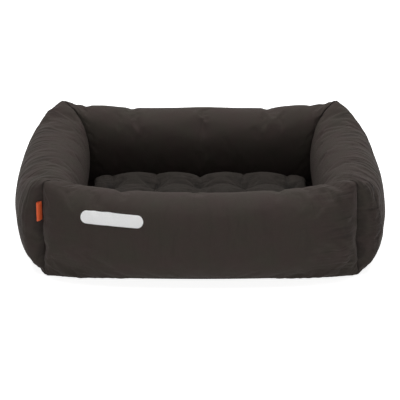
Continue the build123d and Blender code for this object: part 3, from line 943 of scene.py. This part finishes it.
def make_tab():
    """A ribbon folded into an open loop, sewn into the front left corner seam."""
    turn = np.linspace(-1, 1, 41)
    reach = tab_reach * (1 - np.abs(turn) ** 1.7)
    swing = 0.0030 * np.sin(np.pi * turn) * (1 - 0.3 * turn)
    apart = 0.0006 * turn
    corner = np.array([-seam_length / 2 - outer_corner, -seam_depth / 2 - outer_corner])
    outward = np.array([-1.0, -1.0]) / math.sqrt(2)
    aside = np.array([1.0, -1.0]) / math.sqrt(2)
    line = corner + (tab_seam_gap + reach[:, None]) * outward + (swing + apart)[:, None] * aside
    heights = np.linspace(-0.5, 0.5, 13) * tab_height
    droop = 0.06 * reach[:, None]
    grid = np.zeros((len(turn), len(heights), 3))
    grid[..., :2] = line[:, None]
    grid[..., 2] = tab_centre + heights - droop
    steps = np.linalg.norm(np.diff(line, axis=0), axis=1)
    run = np.concatenate([[0], np.cumsum(steps)])
    flat = np.stack(np.meshgrid(run, heights, indexing="ij"), -1)
    tab = slab("ribbon_tab", grid, flat, ribbon_thickness)
    dress(tab, ribbon_weave, "rim", "side_tab")


def make_patch(front):
    """A blank pill-shaped patch on the front, following its puffs, with its sewn edge."""
    surface = BVHTree.FromObject(front, bpy.context.evaluated_depsgraph_get())

    def on_cover(run, rise, lift):
        """Points of the patch's plane set on the cover, with lift off it, and the cover's normals."""
        x = patch_offset + run * math.cos(patch_tilt) + rise * math.sin(patch_tilt)
        z = patch_centre - run * math.sin(patch_tilt) + rise * math.cos(patch_tilt)
        starts = [Vector((a, -1.0, b)) for a, b in zip(x.ravel(), z.ravel())]
        found = [surface.ray_cast(start, Vector((0, 1, 0))) for start in starts]
        spots = np.array([place[0] + place[1] * lift for place in found])
        return spots.reshape(*run.shape, 3), np.array([place[1] for place in found]).reshape(*run.shape, 3)

    radius = patch_height / 2
    straight = patch_length / 2 - radius
    turn = np.linspace(-1, 1, 97)
    run = np.sign(turn) * (1 - (1 - np.abs(turn)) ** 1.4) * patch_length / 2
    into_end = np.maximum(0, np.abs(run) - straight)
    least = 0.0009
    half = np.sqrt(np.maximum(radius**2 - into_end**2, least**2))
    run, rise = np.meshgrid(run, np.linspace(-1, 1, 21), indexing="ij")
    rise = rise * half[:, None]
    grid, _ = on_cover(run, rise, patch_gap)
    grid = blurred(blurred(grid, 1.0, 0, False), 1.0, 1, False)
    patch = slab("bolster_patch", grid, np.stack([run, rise], -1), patch_thickness)
    dress(patch, patch_weave, "rim", "front_patch")

    turn = np.linspace(0, np.pi, 60)
    out, rise = straight + (radius - stitch_inset) * np.sin(turn), (radius - stitch_inset) * np.cos(turn)
    loop = np.concatenate([np.stack([out, rise], -1), np.stack([-out, -rise], -1)])
    loop = even(np.concatenate([loop, loop[:1]]), 201)
    seam, facing = on_cover(loop[:, 0], loop[:, 1], stitch_gap)
    parts = []
    for first in range(0, len(seam) - 1, 2):
        ahead = seam[first + 1] - seam[first]
        ahead /= np.linalg.norm(ahead)
        side = np.cross(ahead, facing[first])
        ring = np.array([side, facing[first], -side, -facing[first]]) * stitch_radius
        middle = seam[first] * 0.5 + seam[first + 1] * 0.5
        path = np.array([seam[first], middle, seam[first + 1]])
        parts.append(tube(path, np.array([0.4 * ring, ring, 0.4 * ring])))
    stitches = joined("patch_stitches", parts)
    stitches.data.materials.append(patch_thread)
    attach(stitches, "rim")


# Zips

def make_zip(name, body, origin, along, normal, length):
    """Both tapes and both rows of teeth of a zip; its slider and pull are solid pieces."""
    origin, along, normal = (np.array(value, dtype=float) for value in (origin, along, normal))
    rise = np.array([0.0, 0.0, 1.0])
    tape_length = length + 2 * tape_overlap
    tape_depth = -cloth - tape_thickness / 2 - 0.00005
    widths = np.linspace(0, tape_width, 5) + tape_gap / 2
    for number, sign in enumerate((-1, 1)):
        run, width = np.meshgrid(np.linspace(-0.5, 0.5, 81) * tape_length, widths[::-sign], indexing="ij")
        grid = origin + run[..., None] * along + sign * width[..., None] * rise + tape_depth * normal
        tape = slab(f"{name}_tape_{number}", grid, np.stack([run, sign * width], -1), tape_thickness)
        dress(tape, tape_weave, body, f"{name}_zip_tapes")

    runs = np.arange(-length / 2 + stop_length, length / 2 - stop_length, tooth_pitch / 4)
    phase = 2 * np.pi * runs / tooth_pitch
    turn = np.linspace(0, 2 * np.pi, 7)[:-1]
    parts = []
    for sign in (-1, 1):
        wide = coil_width / 2 * (0.90 + 0.10 * np.cos(phase + (sign > 0) * np.pi))
        thick = coil_thickness / 2 * (0.82 + 0.18 * np.sin(phase))
        girth = wide[:, None, None] * np.cos(turn)[None, :, None] * rise
        girth = girth + thick[:, None, None] * np.sin(turn)[None, :, None] * normal
        centre = origin + sign * (tape_gap + coil_width) / 2 * rise + (coil_thickness / 2 - cloth) * normal
        parts.append(tube(centre + runs[:, None] * along, girth))
    dress(joined(f"{name}_coils", parts), coil_plastic, body, f"{name}_zip_coils")


covers = {}
for name, ((out_x, out_y), length, reach, *_) in sides.items():
    covers[name] = make_bolster(name)
    spot = (out_x * (reach - inner_foot), out_y * (reach - inner_foot), rim_zip_height)
    zip_length = length - 2 * (inner_reach + rim_zip_end_margin)
    make_zip(name, "rim", spot, (out_y, -out_x, 0), (-out_x, -out_y, 0), zip_length)
make_mattress()
spot = (0, mattress_depth / 2, mattress_zip_height)
make_zip("mattress", "mattress", spot, (-1, 0, 0), (0, 1, 0), mattress_zip_length)
make_base()
make_tab()
make_patch(covers["front"])
for name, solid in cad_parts.items():
    if "slider" in name or "pull" in name or "stops" in name:
        solid.data.materials.clear()
        solid.data.materials.append(zip_metal)


# Floor, light and camera

def seen(tree):
    """1 where the camera looks, or a reflection or glass shows it; 0 for the light it sends out."""
    path = node(tree, "ShaderNodeLightPath").outputs
    share = math_node(tree, "MAXIMUM", path["Is Camera Ray"], path["Is Glossy Ray"])
    return math_node(tree, "MAXIMUM", share, path["Is Transmission Ray"])


def make_floor():
    """A plain pale floor that is nearly white where it is seen, and keeps the shadows."""
    half, glow = 6.0, 0.88
    corners = [(-half, -half, 0), (half, -half, 0), (half, half, 0), (-half, half, 0)]
    floor = add_object("floor", corners, [(0, 1, 2, 3)])
    material, tree, shader = new_material("floor_white")
    tree.nodes.remove(shader)
    place = node(tree, "ShaderNodeTexCoord").outputs["Object"]
    pale = mix_colours(tree, noise_node(tree, place, 40.0), (0.80, 0.80, 0.80, 1), (0.82, 0.82, 0.82, 1))
    diffuse = node(tree, "ShaderNodeBsdfDiffuse", {"Color": pale}).outputs[0]
    strength = math_node(tree, "MULTIPLY", seen(tree), glow)
    emission = node(tree, "ShaderNodeEmission", {"Color": (1, 1, 1, 1), "Strength": strength}).outputs[0]
    both = node(tree, "ShaderNodeAddShader", {0: diffuse, 1: emission}).outputs[0]
    feed(tree, tree.nodes["Material Output"], {"Surface": both})
    floor.data.materials.append(material)


def make_world():
    """White where it is seen, and a faint fill on the object."""
    world = bpy.data.worlds.new("studio")
    bpy.context.scene.world = world
    world.use_nodes = True
    tree = world.node_tree
    strength = map_range(tree, seen(tree), 0.0, 1.0, 0.08, 1.0)
    feed(tree, tree.nodes["Background"], {"Color": (1, 1, 1, 1), "Strength": strength})


def aim(obj, target):
    obj.rotation_euler = (Vector(target) - obj.location).to_track_quat("-Z", "Y").to_euler()


def make_light(name, place, target, size, energy):
    light = bpy.data.lights.new(name, "AREA")
    light.shape = "RECTANGLE"
    light.size, light.size_y = size
    light.energy = energy
    lamp = bpy.data.objects.new(name, light)
    lamp.location = place
    aim(lamp, target)
    bpy.context.scene.collection.objects.link(lamp)


make_floor()
make_world()
make_light("overhead", (0.0, 0.4, 3.0), (0, 0, 0), (4.0, 3.0), 105)
make_light("front_low", (0.0, -3.0, 0.30), (0, 0, 0.12), (3.0, 0.5), 26)

camera_data = bpy.data.cameras.new("camera")
camera_data.lens = 150.57
camera = bpy.data.objects.new("camera", camera_data)
camera.location = (0, -4.2837, 1.8769)
aim(camera, (0, 0, 0.085))
bpy.context.scene.collection.objects.link(camera)
bpy.context.scene.camera = camera
bpy.context.scene.view_settings.view_transform = "Standard"
